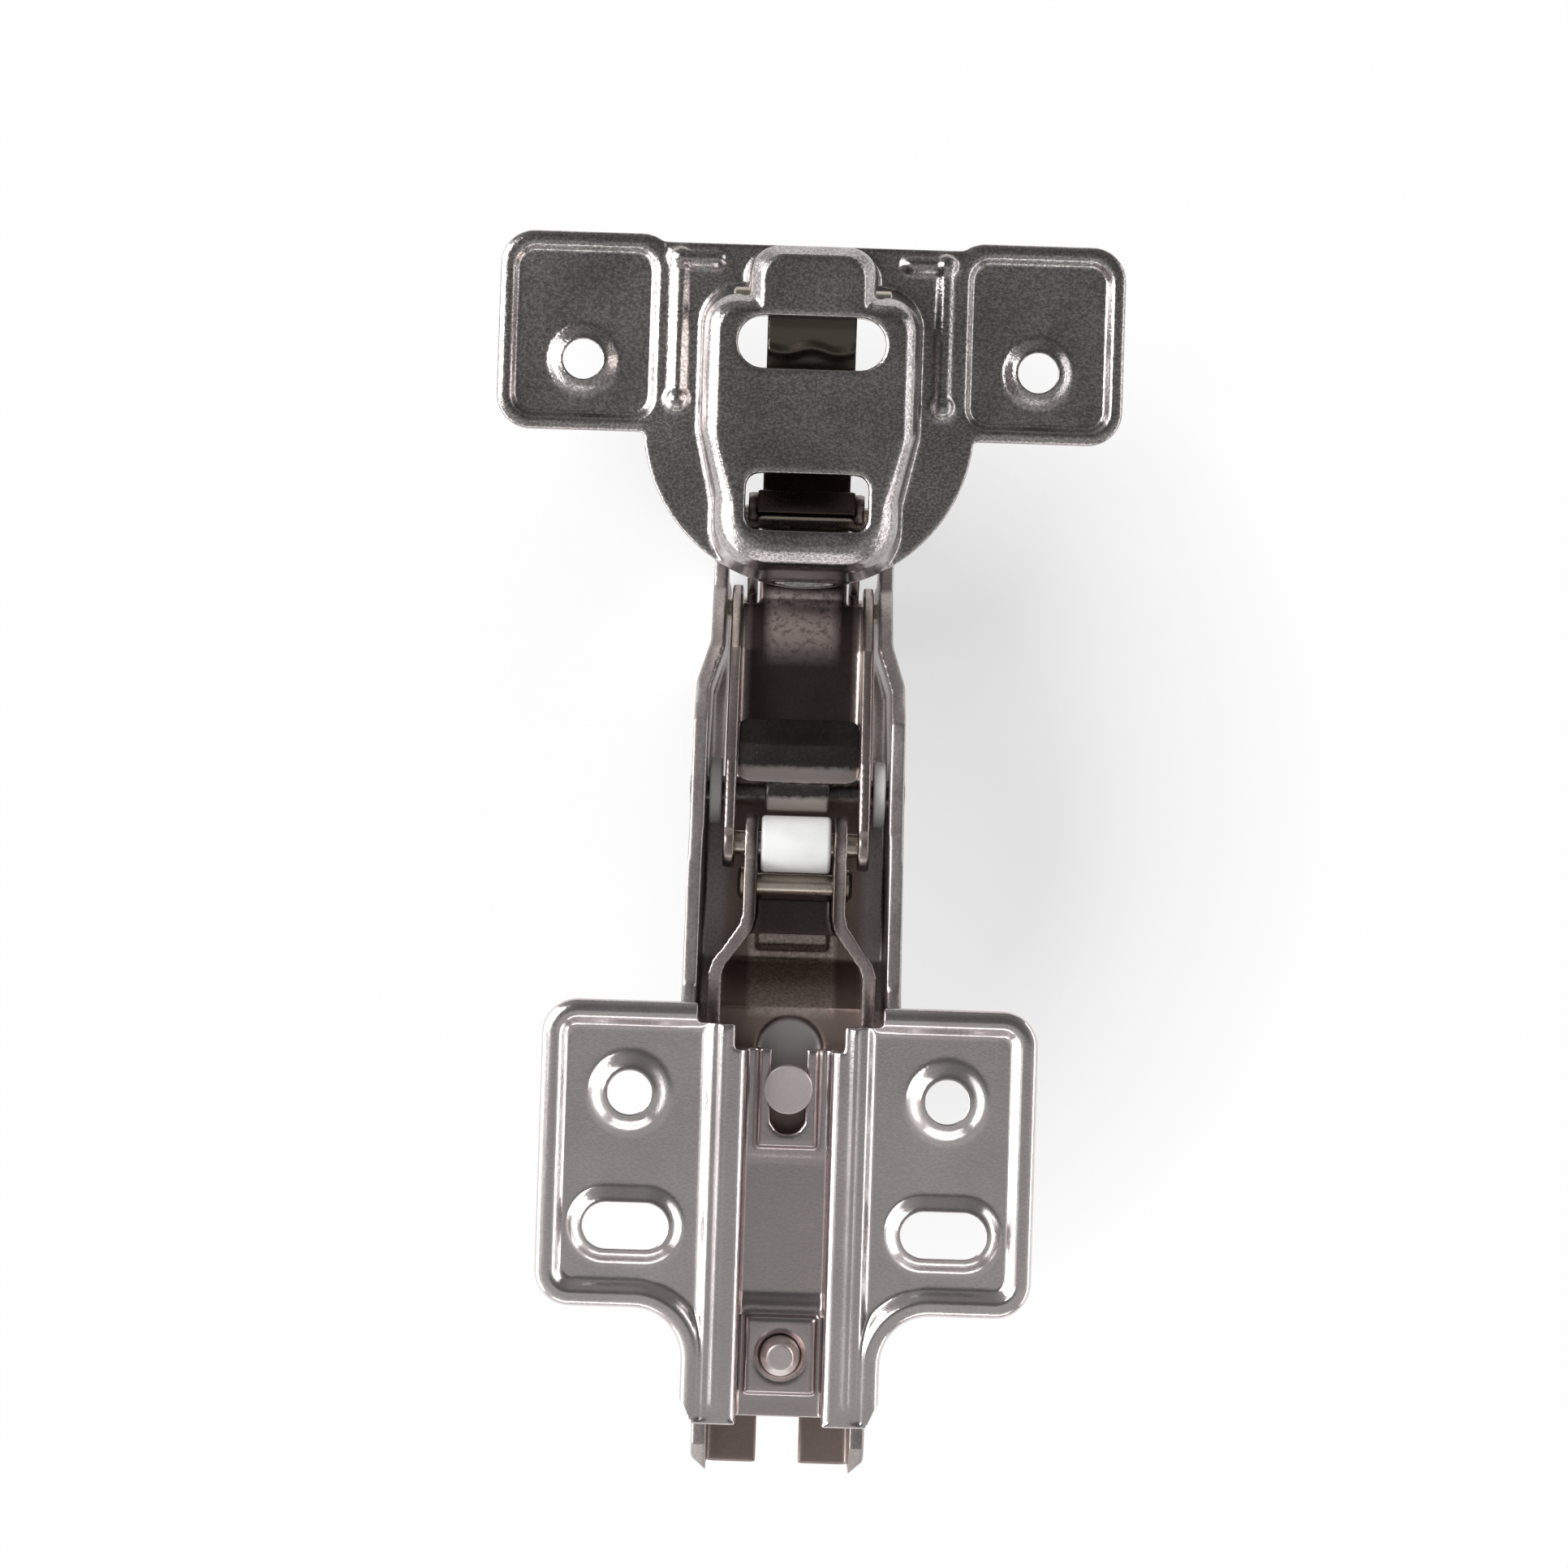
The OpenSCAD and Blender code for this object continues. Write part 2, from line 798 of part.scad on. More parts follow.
module fixing_washer() {
    color("silver")
    translate([0, fix_y, arm_web_z - arm_t - 1.25])
        difference() {
            cylinder(r = 4.2, h = 0.9);
            translate([0, 0, -1])
                cylinder(r = fix_d / 2 + fit, h = 3);
        }
}

mounting_plate();
arm();
hinge_cup();
inner_link();
outer_link();
spring_fork();
leaf_spring();
nylon_roller();
roller_axle();
fork_pin();
inner_link_axle();
left_washer();
right_washer();
left_nose_rivet();
right_nose_rivet();
cup_front_pin();
cup_rear_pin();
adjusting_screw();
fixing_screw();
fixing_washer();
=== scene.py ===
"""Visual model of a concealed cabinet hinge, open, seen from its underside."""
import json
import math

import bmesh
import bpy
from mathutils import Matrix, Vector


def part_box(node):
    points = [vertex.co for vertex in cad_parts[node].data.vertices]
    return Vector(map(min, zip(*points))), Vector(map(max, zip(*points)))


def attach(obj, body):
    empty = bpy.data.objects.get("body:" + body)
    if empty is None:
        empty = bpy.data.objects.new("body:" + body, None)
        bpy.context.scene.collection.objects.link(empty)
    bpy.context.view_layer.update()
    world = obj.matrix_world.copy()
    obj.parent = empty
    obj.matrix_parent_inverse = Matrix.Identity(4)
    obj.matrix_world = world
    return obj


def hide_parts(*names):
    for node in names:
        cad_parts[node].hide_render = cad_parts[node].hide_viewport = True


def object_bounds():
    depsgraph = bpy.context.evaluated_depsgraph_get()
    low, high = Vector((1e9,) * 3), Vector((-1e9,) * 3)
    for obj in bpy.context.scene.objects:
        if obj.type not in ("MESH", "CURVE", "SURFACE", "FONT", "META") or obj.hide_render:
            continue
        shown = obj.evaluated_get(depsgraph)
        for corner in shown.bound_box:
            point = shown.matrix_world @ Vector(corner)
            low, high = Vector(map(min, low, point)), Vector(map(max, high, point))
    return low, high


# lengths are in mm, apart from the stage's, and MM turns them into metres
MM = 0.001

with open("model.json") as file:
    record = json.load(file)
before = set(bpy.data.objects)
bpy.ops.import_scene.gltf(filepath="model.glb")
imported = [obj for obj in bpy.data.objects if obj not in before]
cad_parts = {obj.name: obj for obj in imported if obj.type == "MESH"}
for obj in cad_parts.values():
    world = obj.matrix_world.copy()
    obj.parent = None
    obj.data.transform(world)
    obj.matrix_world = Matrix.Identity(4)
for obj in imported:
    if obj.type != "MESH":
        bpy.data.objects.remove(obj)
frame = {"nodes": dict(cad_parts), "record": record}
cad_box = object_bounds()
nodes = frame["nodes"]
record = frame["record"]
body_of = {n: b for b, names in record["behaviour"]["bodies"].items() for n in names}
slot_of = {s["node"]: s["material_slot"] for s in record["subparts"]}
mounts = {m["name"]: m for m in record["mounts"]}


# length of the frame in mm
def in_mm(length):
    return round(length / MM, 3)


# camera: the photograph's width and focal length in pixels, and the view's angles
PHOTO_PX = 1932.0
FOCAL_PX = 4772.0
SENSOR = 36.0
TILT = math.radians(1.237)
ROLL = math.radians(1.822)
YAW = math.radians(-0.062)
TARGET = Vector((-1.424, 31.712, -10.0)) * MM
DISTANCE = 400.0 * MM
NEAR_CLIP = 10.0 * MM

# plated metals: colour, dark colour, roughness, share of speckle, strength of bump
METALS = {
    "nickel_plate": ((0.80, 0.735, 0.725), (0.66, 0.60, 0.59), 0.15, 0.18, 0.3),
    "nickel_arm": ((0.50, 0.455, 0.44), (0.34, 0.30, 0.285), 0.34, 0.2, 0.45),
    "nickel_cup": ((0.46, 0.42, 0.412), (0.27, 0.246, 0.24), 0.16, 0.38, 0.75),
    "nickel_link": ((0.46, 0.39, 0.37), (0.30, 0.25, 0.23), 0.26, 0.14, 0.35),
    "nickel_fork": ((0.56, 0.48, 0.46), (0.36, 0.30, 0.28), 0.30, 0.22, 0.4),
    "spring_steel": ((0.10, 0.09, 0.09), (0.06, 0.055, 0.055), 0.34, 0.04, 0.3),
    "pin_steel": ((0.62, 0.55, 0.47), (0.44, 0.38, 0.31), 0.24, 0.1, 0.25),
    "screw_steel": ((0.92, 0.84, 0.82), (0.78, 0.71, 0.69), 0.34, 0.14, 0.3),
}
# brown stains: place and size
STAINS = {
    "nickel_plate": [((3.7, -17.4, -7.3), 0.7)],
    "nickel_cup": [((-11.3, 66.0, -16.4), 0.8), ((-6.9, 82.6, -9.0), 0.7)],
}

# colours of wear, and of painted shade and painted light
SPECK = (1.0, 0.96, 0.93)
SCRATCH = (1.0, 0.94, 0.92)
RUST = (0.22, 0.10, 0.04)
LEAF_WORN = (0.52, 0.46, 0.43)
# painted shade for the plate's recessed channel
CHANNEL_PAINTED_SHADE = (0.44, 0.38, 0.37)
# painted shade for the arm's hollow
ARM_PAINTED_SHADE = (0.30, 0.22, 0.19)
ARM_SEAT = (0.50, 0.48, 0.48)
# sand speckle that is also painted light on the arm's shadowed web
ARM_SAND_PAINTED_LIGHT = (0.86, 0.72, 0.64)
# painted shade for the link's web
LINK_PAINTED_SHADE = (0.06, 0.042, 0.036)
# painted highlight for the link's curved web, with crackle
LINK_PAINTED_HIGHLIGHT = (0.96, 0.83, 0.79)
# painted shade for the link's end deep in the cup
LINK_STRIP_SHADE = (0.14, 0.12, 0.095)
# painted shade for the fork's shadowed web
FORK_PAINTED_SHADE = (0.05, 0.036, 0.03)
NYLON_SHADE = (0.90, 0.90, 0.89)
NYLON_WHITE = (0.96, 0.96, 0.955)

# noise: cells per metre, detail and roughness
GRAIN = (3400.0, 2.0, 0.7)
BLOTCH = (90.0, 3.0, 0.55)
RUST_EDGE = (1500.0, 3.0, 0.55)
WEAR_EDGE = (1400.0, 3.0, 0.55)
SAND = (3000.0, 3.0, 0.55)
CRACK = (1300.0, 4.0, 0.7)
NYLON_CLOUD = (400.0, 3.0, 0.55)
NYLON_GRAIN = (3000.0, 3.0, 0.55)
# scratches: noise in a space stretched by cells per metre along each axis
SCRATCH_RUN = (3600.0, 90.0, 2400.0)
SCRATCH_LINES = (1.0, 2.0, 0.5)

# how the noise shapes a metal: least and most roughness, what the grain adds to it, and relief
ROUGH_LEAST = 0.85
ROUGH_MOST = 1.2
GRAIN_ROUGH = 0.08
SCRATCH_RELIEF = 0.4
METAL_RELIEF = 0.04
# roller plastic: least and most roughness, glow under the surface, bump and its relief
NYLON_ROUGH = (0.34, 0.48)
NYLON_SOFT = 0.15
NYLON_BUMP = 0.15
NYLON_RELIEF = 0.05

# bands of painted shade and painted light across the hinge: full half width, half width where they end, and
# strength
CHANNEL_SHADE = (4.0, 4.6, 0.5)
ARM_HOLLOW = (6.72, 7.68, 0.8)
ARM_WEB = (4.2, 4.8, 1.0)
LINK_WEB = (5.2, 6.0, 0.9)
LINK_MIDDLE = (3.0, 4.2, 1.0)
FORK_WEB = (4.2, 4.8, 0.9)
# bands of painted light, painted shade and the leaf's wear along the hinge: places and their strength
ARM_SAND_LIGHT_REACH = [(7.4, 0.0), (8.8, 1.0), (15.8, 1.0), (16.64, 0.0)]
LINK_HIGHLIGHT_PATCH = [(44.24, 0.0), (48.8, 1.0), (51.92, 1.0), (52.88, 0.0)]
LINK_END = [(70.8, 0.0), (73.2, 0.9)]
LEAF_ENDS = [(30.4, 1.0), (30.88, 0.0), (31.96, 0.0), (32.32, 0.9), (33.52, 0.9), (34.0, 0.0)]
LEAF_RAGGED = 0.72
# round seat in the arm's web: middle, and where its grey starts and ends to fade
SEAT = (0.0, 4.3, 0.0)
SEAT_FULL = 3.2
SEAT_END = 3.4

# pressed plate: outline of its wings and neck
PLATE_HALF = in_mm(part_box("mounting_plate")[1].x)
PLATE_FRONT = in_mm(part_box("mounting_plate")[1].y)
PLATE_CORNER = 3.6
WING_REAR = -21.6
NECK_HALF = 10.0
NECK_FILLET = 5.0
NECK_END = -32.5
# rolled lip round the wings, and the panel inside it
LIP_ROLL = 1.4
LIP_WIDE = 2.9
LIP_FALL = 0.75
PANEL_DROP = 1.0
# cones round the screw holes: their foot radius at each mount, height and flat edge
CONE_FOOT = {"plate_screws": 4.45, "plate_slots": 4.15}
CONE_RISE = 0.95
CONE_EDGE = 0.15
# ribs beside the channel, with a groove along their crest
RIB_X = 7.1
RIB_TOP = 0.35
RIB_ROUND = 2.4
RIB_FALL = 1.5
RIB_SLOPE = 1.9
GROOVE_X = 7.25
GROOVE_DEEP = 0.4
GROOVE_WIDE = 0.4
# channel: half width, height of its floor, and the panel pressed into it
CHANNEL_HALF = 4.2
CHANNEL_Z = -7.0
CHANNEL_PANEL = (-21.7, -5.7)
CHANNEL_SLOPE = 1.4
CHANNEL_DROP = 0.45

# cup: seat, drilling and round flange
CUP_SEAT = in_mm(mounts["cup_screws"]["pos_m"][2])
CUP_HOLE_X = mounts["cup_screws"]["dims"]["spacing_x_mm"] / 2
CUP_HOLE_Y = in_mm(mounts["cup_screws"]["pos_m"][1])
CUP_Y = 70.0
CUP_ROUND = 17.4
# cup wings: middle, half size and corner of the outline and of the panel
CUP_WING = ((23.75, 79.0), (9.25, 10.5), 3.6)
CUP_PANEL = ((24.0, 78.9), (7.8, 9.3), 2.6)
CUP_WING_ROOT = 15.9
CUP_SHEET = 1.0
# their rolled rim, the panel's drop and slope, and the cones round the holes
CUP_RIM = 0.8
CUP_RIM_FALL = 0.45
CUP_DROP = 0.8
CUP_SLOPE = 0.9
CUP_CONE_TOP = 2.2
CUP_CONE_WIDE = 1.8
CUP_CONE_RISE = 0.8

# leaf: share that it spreads, from where on, and over what length
LEAF_SPREAD = 0.12
LEAF_START = 31.2
LEAF_BLEND = 1.2

# strip in the cup's slot: its reach, and the wave across it
STRIP_HALF = 5.6
STRIP_Y = (73.0, 80.5)
WAVE_Y = 76.4
WAVE_SWAY = 0.3
WAVE_TURN = 1.1
WAVE_WIDE = 0.5
WAVE_HIGH = 0.38

# how far up a point faces before it counts as the pressed side
UP_FACE = 0.05
UP_CHANNEL = 0.3
UP_STRIP = 0.2
# room for points that the rounding moved off their face
PANEL_SLACK = 0.15
CHANNEL_SLACK = 0.6
OUTLINE_SLACK = 0.1

# turned pieces: pins with their rounding and inset, rings with bore and rounding, and profiles
TURN_STEPS = 64
SHARP = math.radians(40)
QUARTER = [math.pi / 2 * i / 5 for i in range(6)]
PINS = {
    "roller_axle": (0.35, 0.0),
    "cup_front_pin": (0.35, 0.0),
    "cup_rear_pin": (0.35, 0.0),
    "inner_link_axle": (0.15, 0.55),
}
RINGS = {
    "nylon_roller": (1.3, 0.45),
    "left_washer": (1.55, 0.25),
    "right_washer": (1.55, 0.25),
}
FORK_PIN_END = [(5.25, 1.1), (5.25, 1.7), (5.55, 1.7), (5.75, 1.5), (5.9, 1.2)]
NOSE_RIVET = [(4.9, 1.0), (5.1, 1.25), (9.5, 1.25), (9.5, 2.0), (9.6, 1.95), (9.68, 1.7), (9.7, 0.9)]

# threads: radius, lower and upper end, pitch
THREADS = {
    "fixing_screw": (1.88, -12.6, -5.0, 0.7),
    "adjusting_screw": (1.88, -14.6, -9.0, 0.7),
}
THREAD_STEPS = 24
THREAD_BEAD = 0.17

# smoothing of pressed pieces: strength, and rounds after they get their form
SMOOTH = 0.5
FORM_ROUNDS = 4

# stage, in metres: the floor's size, gap under the part, and share of white near and far from it
FLOOR_SIZE = 12.0
FLOOR_GAP = 0.0002
FLOOR_COLOUR = (0.93, 0.93, 0.94, 1)
FLOOR_ROUGH = 0.9
FLOOR_SHEEN = 0.1
FLOOR_NEAR = (0.03, 0.56)
FLOOR_FAR = (0.06, 0.97)
# light tent: brightness overhead along Y and at the sides along X and Y, from one side to the other,
# and how much of it is overhead at each height
TENT_TOP_Y = [(0.25, 0.4), (0.43, 0.42), (0.56, 0.13), (0.8, 0.1)]
TENT_SIDE_X = [(0.1, 1.0), (0.4, 0.75), (0.6, 0.5), (0.9, 0.5)]
TENT_SIDE_Y = [(0.1, 0.7), (0.5, 0.95), (0.85, 0.35)]
TENT_HIGH = [(0.5, 0.0), (0.85, 1.0)]
TENT_STRENGTH = 0.95
# lamps: place, aim and size in metres, power in watts
LAMPS = {
    "key": ((-0.42, 0.22, 0.42), (0, 0.03, 0), (0.35, 0.35), 2.2),
    "left_strip": ((-0.5, 0.03, 0.12), (0, 0.03, -0.01), (0.9, 0.12), 3.0),
    "right_strip": ((0.5, 0.03, 0.14), (0, 0.03, -0.01), (0.9, 0.12), 0.8),
    "front_strip": ((0.0, -0.5, 0.2), (0, 0.03, -0.01), (0.6, 0.12), 0.4),
}

# places of the colour sockets on a mix node
MIX_A = 6
MIX_B = 7
MIX_RESULT = 2


# camera at the photograph's viewing angle
def add_camera():
    data = bpy.data.cameras.new("camera")
    data.sensor_width = SENSOR
    data.lens = FOCAL_PX / PHOTO_PX * SENSOR
    data.clip_start = NEAR_CLIP
    cam = bpy.data.objects.new("camera", data)
    bpy.context.collection.objects.link(cam)
    turn = Matrix.Rotation(YAW, 4, "Y") @ Matrix.Rotation(TILT, 4, "X") @ Matrix.Rotation(ROLL, 4, "Z")
    place = TARGET + turn.to_3x3() @ Vector((0, 0, DISTANCE))
    cam.matrix_world = Matrix.Translation(place) @ turn
    bpy.context.scene.camera = cam


# material with its node tree and shader
def new_material(name):
    mat = bpy.data.materials.new(name)
    mat.use_nodes = True
    tree = mat.node_tree
    return mat, tree, tree.nodes["Principled BSDF"]


# node with values on its sockets or its settings
def add_node(tree, kind, **values):
    node = tree.nodes.new(kind)
    for key, value in values.items():
        if key in node.inputs:
            node.inputs[key].default_value = value
        else:
            setattr(node, key, value)
    return node


def object_space(tree):
    return tree.nodes.new("ShaderNodeTexCoord").outputs["Object"]


def axes_of(tree, vector):
    parts = tree.nodes.new("ShaderNodeSeparateXYZ")
    tree.links.new(vector, parts.inputs["Vector"])
    return parts.outputs


def ramp(tree, source, stops):
    node = tree.nodes.new("ShaderNodeValToRGB")
    elements = node.color_ramp.elements
    while len(elements) < len(stops):
        elements.new(0.5)
    for element, (place, value) in zip(elements, stops):
        element.position = place
        element.color = (*value, 1) if isinstance(value, tuple) else (value, value, value, 1)
    tree.links.new(source, node.inputs["Fac"])
    return node.outputs["Color"]


def noise(tree, vector, scale, detail, rough):
    node = add_node(tree, "ShaderNodeTexNoise", Scale=scale, Detail=detail, Roughness=rough)
    tree.links.new(vector, node.inputs["Vector"])
    return node.outputs["Fac"]


def stretched(tree, vector, scale):
    node = add_node(tree, "ShaderNodeMapping", Scale=scale)
    tree.links.new(vector, node.inputs["Vector"])
    return node.outputs["Vector"]


def math_node(tree, operation, a, b):
    node = tree.nodes.new("ShaderNodeMath")
    node.operation = operation
    for socket, value in zip(node.inputs, (a, b)):
        if isinstance(value, (int, float)):
            socket.default_value = value
        else:
            tree.links.new(value, socket)
    return node.outputs["Value"]


def product(tree, first, *others):
    for other in others:
        first = math_node(tree, "MULTIPLY", first, other)
    return first


def mix_colour(tree, fac, a, b):
    node = tree.nodes.new("ShaderNodeMix")
    node.data_type = "RGBA"
    tree.links.new(fac, node.inputs["Factor"])
    for socket, value in ((node.inputs[MIX_A], a), (node.inputs[MIX_B], b)):
        if isinstance(value, tuple):
            socket.default_value = (*value, 1)
        else:
            tree.links.new(value, socket)
    return node.outputs[MIX_RESULT]


def add_bump(tree, shader, height, strength, deep):
    node = add_node(tree, "ShaderNodeBump", Strength=strength, Distance=deep * MM)
    tree.links.new(height, node.inputs["Height"])
    tree.links.new(node.outputs["Normal"], shader.inputs["Normal"])


# share of the way from a low value to a high one
def share_between(tree, value, low, high):
    node = add_node(tree, "ShaderNodeMapRange", **{"From Min": low, "From Max": high})
    tree.links.new(value, node.inputs["Value"])
    return node.outputs["Result"]


# distance from a place as a share of a reach, both in metres
def share_away(tree, space, place, reach):
    away = add_node(tree, "ShaderNodeVectorMath", operation="DISTANCE")
    away.inputs[1].default_value = place
    tree.links.new(space, away.inputs[0])
    return math_node(tree, "DIVIDE", away.outputs["Value"], reach)


# mask with given values at places along one axis, and a ragged edge where asked
def band(tree, space, axis, stops, ragged=0.0):
    low, high = stops[0][0], stops[-1][0]
    place = axes_of(tree, space)[axis]
    if ragged:
        shift = product(tree, noise(tree, space, *WEAR_EDGE), ragged * MM)
        place = math_node(tree, "ADD", place, shift)
    share = share_between(tree, place, low * MM, high * MM)
    return ramp(tree, share, [((at - low) / (high - low), value) for at, value in stops])


# values of a band about the middle plane that fades between two half widths
def both_sides(full, end, value):
    return [(-end, 0.0), (-full, value), (full, value), (end, 0.0)]


# lays another colour over a metal where a mask says
def overlay(mat, mask, colour):
    tree = mat.node_tree
    socket = tree.nodes["Principled BSDF"].inputs["Base Color"]
    tree.links.new(mix_colour(tree, mask, socket.links[0].from_socket, colour), socket)


# plated steel with sandy speckle, fine scratches and soft blotches
def nickel(name):
    colour, dark, rough, speckle, bump = METALS[name]
    mat, tree, shader = new_material(name)
    shader.inputs["Metallic"].default_value = 1.0
    space = object_space(tree)
    grain = noise(tree, space, *GRAIN)
    blotch = noise(tree, space, *BLOTCH)
    lines = noise(tree, stretched(tree, space, SCRATCH_RUN), *SCRATCH_LINES)
    scratch = ramp(tree, lines, [(0.68, 0.0), (0.76, 0.16)])
    tone = ramp(tree, blotch, [(0.3, dark), (0.7, colour)])
    sandy = ramp(tree, grain, [(0.4, dark), (0.62, SPECK)])
    weight = product(tree, ramp(tree, blotch, [(0.25, 0.6), (0.75, 1.0)]), speckle)
    surface = mix_colour(tree, weight, tone, sandy)
    surface = mix_colour(tree, scratch, surface, SCRATCH)
    for place, size in STAINS.get(name, ()):
        surface = stained(tree, space, surface, place, size)
    tree.links.new(surface, shader.inputs["Base Color"])
    spread = ramp(tree, blotch, [(0.25, rough * ROUGH_LEAST), (0.75, rough * ROUGH_MOST)])
    spread = math_node(tree, "ADD", spread, product(tree, grain, GRAIN_ROUGH))
    tree.links.new(spread, shader.inputs["Roughness"])
    relief = math_node(tree, "ADD", grain, product(tree, scratch, SCRATCH_RELIEF))
    add_bump(tree, shader, relief, bump, METAL_RELIEF)
    return mat


# surface with a small brown stain about one place
def stained(tree, space, surface, place, size):
    near = share_away(tree, space, [v * MM for v in place], size * MM)
    ragged = math_node(tree, "ADD", near, noise(tree, space, *RUST_EDGE))
    return mix_colour(tree, ramp(tree, ragged, [(0.6, 1.0), (1.3, 0.0)]), surface, RUST)


# white roller plastic
def nylon(name):
    mat, tree, shader = new_material(name)
    space = object_space(tree)
    cloud = noise(tree, space, *NYLON_CLOUD)
    white = ramp(tree, cloud, [(0.3, NYLON_SHADE), (0.7, NYLON_WHITE)])
    tree.links.new(white, shader.inputs["Base Color"])
    spread = ramp(tree, cloud, [(0.3, NYLON_ROUGH[0]), (0.7, NYLON_ROUGH[1])])
    tree.links.new(spread, shader.inputs["Roughness"])
    shader.inputs["Subsurface Weight"].default_value = NYLON_SOFT
    shader.inputs["Subsurface Radius"].default_value = (MM, MM, MM)
    add_bump(tree, shader, noise(tree, space, *NYLON_GRAIN), NYLON_BUMP, NYLON_RELIEF)
    return mat


# bright worn ends of the dark leaf
def wear_leaf(mat, tree, space):
    overlay(mat, band(tree, space, "Y", LEAF_ENDS, LEAF_RAGGED), LEAF_WORN)


# painted shade that darkens the plate's recessed channel
def shade_plate(mat, tree, space):
    overlay(mat, band(tree, space, "X", both_sides(*CHANNEL_SHADE)), CHANNEL_PAINTED_SHADE)


# painted brown shade in the arm's hollow, with the smooth grey seat and a sandy stretch of painted light in
# its web
def shade_arm(mat, tree, space):
    overlay(mat, band(tree, space, "X", both_sides(*ARM_HOLLOW)), ARM_PAINTED_SHADE)
    flat = stretched(tree, space, (1.0, 1.0, 0.0))
    away = share_away(tree, flat, [v * MM for v in SEAT], SEAT_END * MM)
    overlay(mat, ramp(tree, away, [(SEAT_FULL / SEAT_END, 1.0), (1.0, 0.0)]), ARM_SEAT)
    inside = band(tree, space, "X", both_sides(*ARM_WEB))
    reach = band(tree, space, "Y", ARM_SAND_LIGHT_REACH)
    sand = ramp(tree, noise(tree, space, *SAND), [(0.35, 0.35), (0.65, 1.0)])
    overlay(mat, product(tree, inside, reach, sand), ARM_SAND_PAINTED_LIGHT)


# painted brown shade on the link's web, with a crackled patch of painted highlight and painted shade on the
# strip in the cup
def shade_link(mat, tree, space):
    overlay(mat, band(tree, space, "X", both_sides(*LINK_WEB)), LINK_PAINTED_SHADE)
    patch = band(tree, space, "Y", LINK_HIGHLIGHT_PATCH)
    middle = band(tree, space, "X", both_sides(*LINK_MIDDLE))
    cracks = ramp(tree, noise(tree, space, *CRACK), [(0.36, 0.4), (0.5, 1.0)])
    overlay(mat, product(tree, patch, middle, cracks), LINK_PAINTED_HIGHLIGHT)
    overlay(mat, band(tree, space, "Y", LINK_END), LINK_STRIP_SHADE)


# painted dark shade on the web between the fork's arms
def shade_fork(mat, tree, space):
    overlay(mat, band(tree, space, "X", both_sides(*FORK_WEB)), FORK_PAINTED_SHADE)


SHADES = {
    "nickel_plate": shade_plate,
    "nickel_arm": shade_arm,
    "nickel_link": shade_link,
    "nickel_fork": shade_fork,
    "spring_steel": wear_leaf,
}
MATERIALS = {name: nickel(name) for name in METALS}
MATERIALS["nylon"] = nylon("nylon")
for name, shade in SHADES.items():
    tree = MATERIALS[name].node_tree
    shade(MATERIALS[name], tree, object_space(tree))


# smooth shading and the node's own material
def paint(mesh, name):
    mesh.shade_smooth()
    mesh.materials.clear()
    mesh.materials.append(MATERIALS[slot_of[name]])


# puts a piece in its node's place
def stand_for(piece, name):
    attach(piece, body_of[name])
    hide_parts(name)


def add_smooth(piece, rounds):
    smooth = piece.modifiers.new("smooth", "SMOOTH")
    smooth.factor = SMOOTH
    smooth.iterations = rounds


# turns a piece's modifiers into its mesh
def settle(piece):
    depsgraph = bpy.context.evaluated_depsgraph_get()
    mesh = bpy.data.meshes.new_from_object(piece.evaluated_get(depsgraph))
    piece.modifiers.clear()
    piece.data = mesh
    return mesh


# rounds the edges of a pressed node, gives it its form and keeps a share of its faces
def dress(name, voxel, rounds, keep, form=None):
    piece = bpy.data.objects.new(name + "_pressed", nodes[name].data.copy())
    bpy.context.collection.objects.link(piece)
    remesh = piece.modifiers.new("remesh", "REMESH")
    remesh.mode = "VOXEL"
    remesh.voxel_size = voxel * MM
    add_smooth(piece, rounds)
    if form:
        form(settle(piece))
        add_smooth(piece, FORM_ROUNDS)
    thin = piece.modifiers.new("thin", "DECIMATE")
    thin.ratio = keep
    paint(settle(piece), name)
    stand_for(piece, name)


# soft fall from 1 at 0 to 0 at 1
def fade(t):
    t = min(max(t, 0.0), 1.0)
    return 0.5 * (1.0 + math.cos(math.pi * t))


# distance from a rounded rectangle's outline inwards
def inside_rect(x, y, middle, half, corner):
    qx = abs(x - middle[0]) - half[0] + corner
    qy = abs(y - middle[1]) - half[1] + corner
    return corner - math.hypot(max(qx, 0.0), max(qy, 0.0)) - min(max(qx, qy), 0.0)


# fall of a rolled edge at a distance from it
def rolled(inside, wide, fall):
    t = 1.0 - min(max(inside, 0.0), wide) / wide
    return fall * (1.0 - math.sqrt(1.0 - t * t))


# each point of a mesh with its place in mm and how far up it faced before any was moved
def facing_points(mesh):
    facing = [v.normal.z for v in mesh.vertices]
    for v, up in zip(mesh.vertices, facing):
        yield v, v.co.x / MM, v.co.y / MM, v.co.z / MM, up


# distance from the plate's outline inwards
def plate_inside(x, y):
    fillet_x = NECK_HALF + NECK_FILLET
    fillet_y = WING_REAR - NECK_FILLET
    if x > fillet_x:
        middle = (0.0, (PLATE_FRONT + WING_REAR) / 2)
        half = (PLATE_HALF, (PLATE_FRONT - WING_REAR) / 2)
        return inside_rect(x, y, middle, half, PLATE_CORNER)
    side = NECK_HALF - x
    if y > fillet_y:
        side = math.hypot(fillet_x - x, y - fillet_y) - NECK_FILLET
    return min(side, PLATE_FRONT - y)


# height of the cone round a mount's screw hole or slot, over the panel
def cone_height(x, y, mount):
    dims = mounts[mount]["dims"]
    bore = dims["hole_r_mm"]
    run = dims.get("slot_length_mm", 2 * bore) / 2 - bore
    across = max(abs(x - dims["spacing_x_mm"] / 2) - run, 0.0)
    away = math.hypot(across, y - in_mm(mounts[mount]["pos_m"][1]))
    edge = bore + CONE_EDGE
    return CONE_RISE * fade((away - edge) / (CONE_FOOT[mount] - edge))


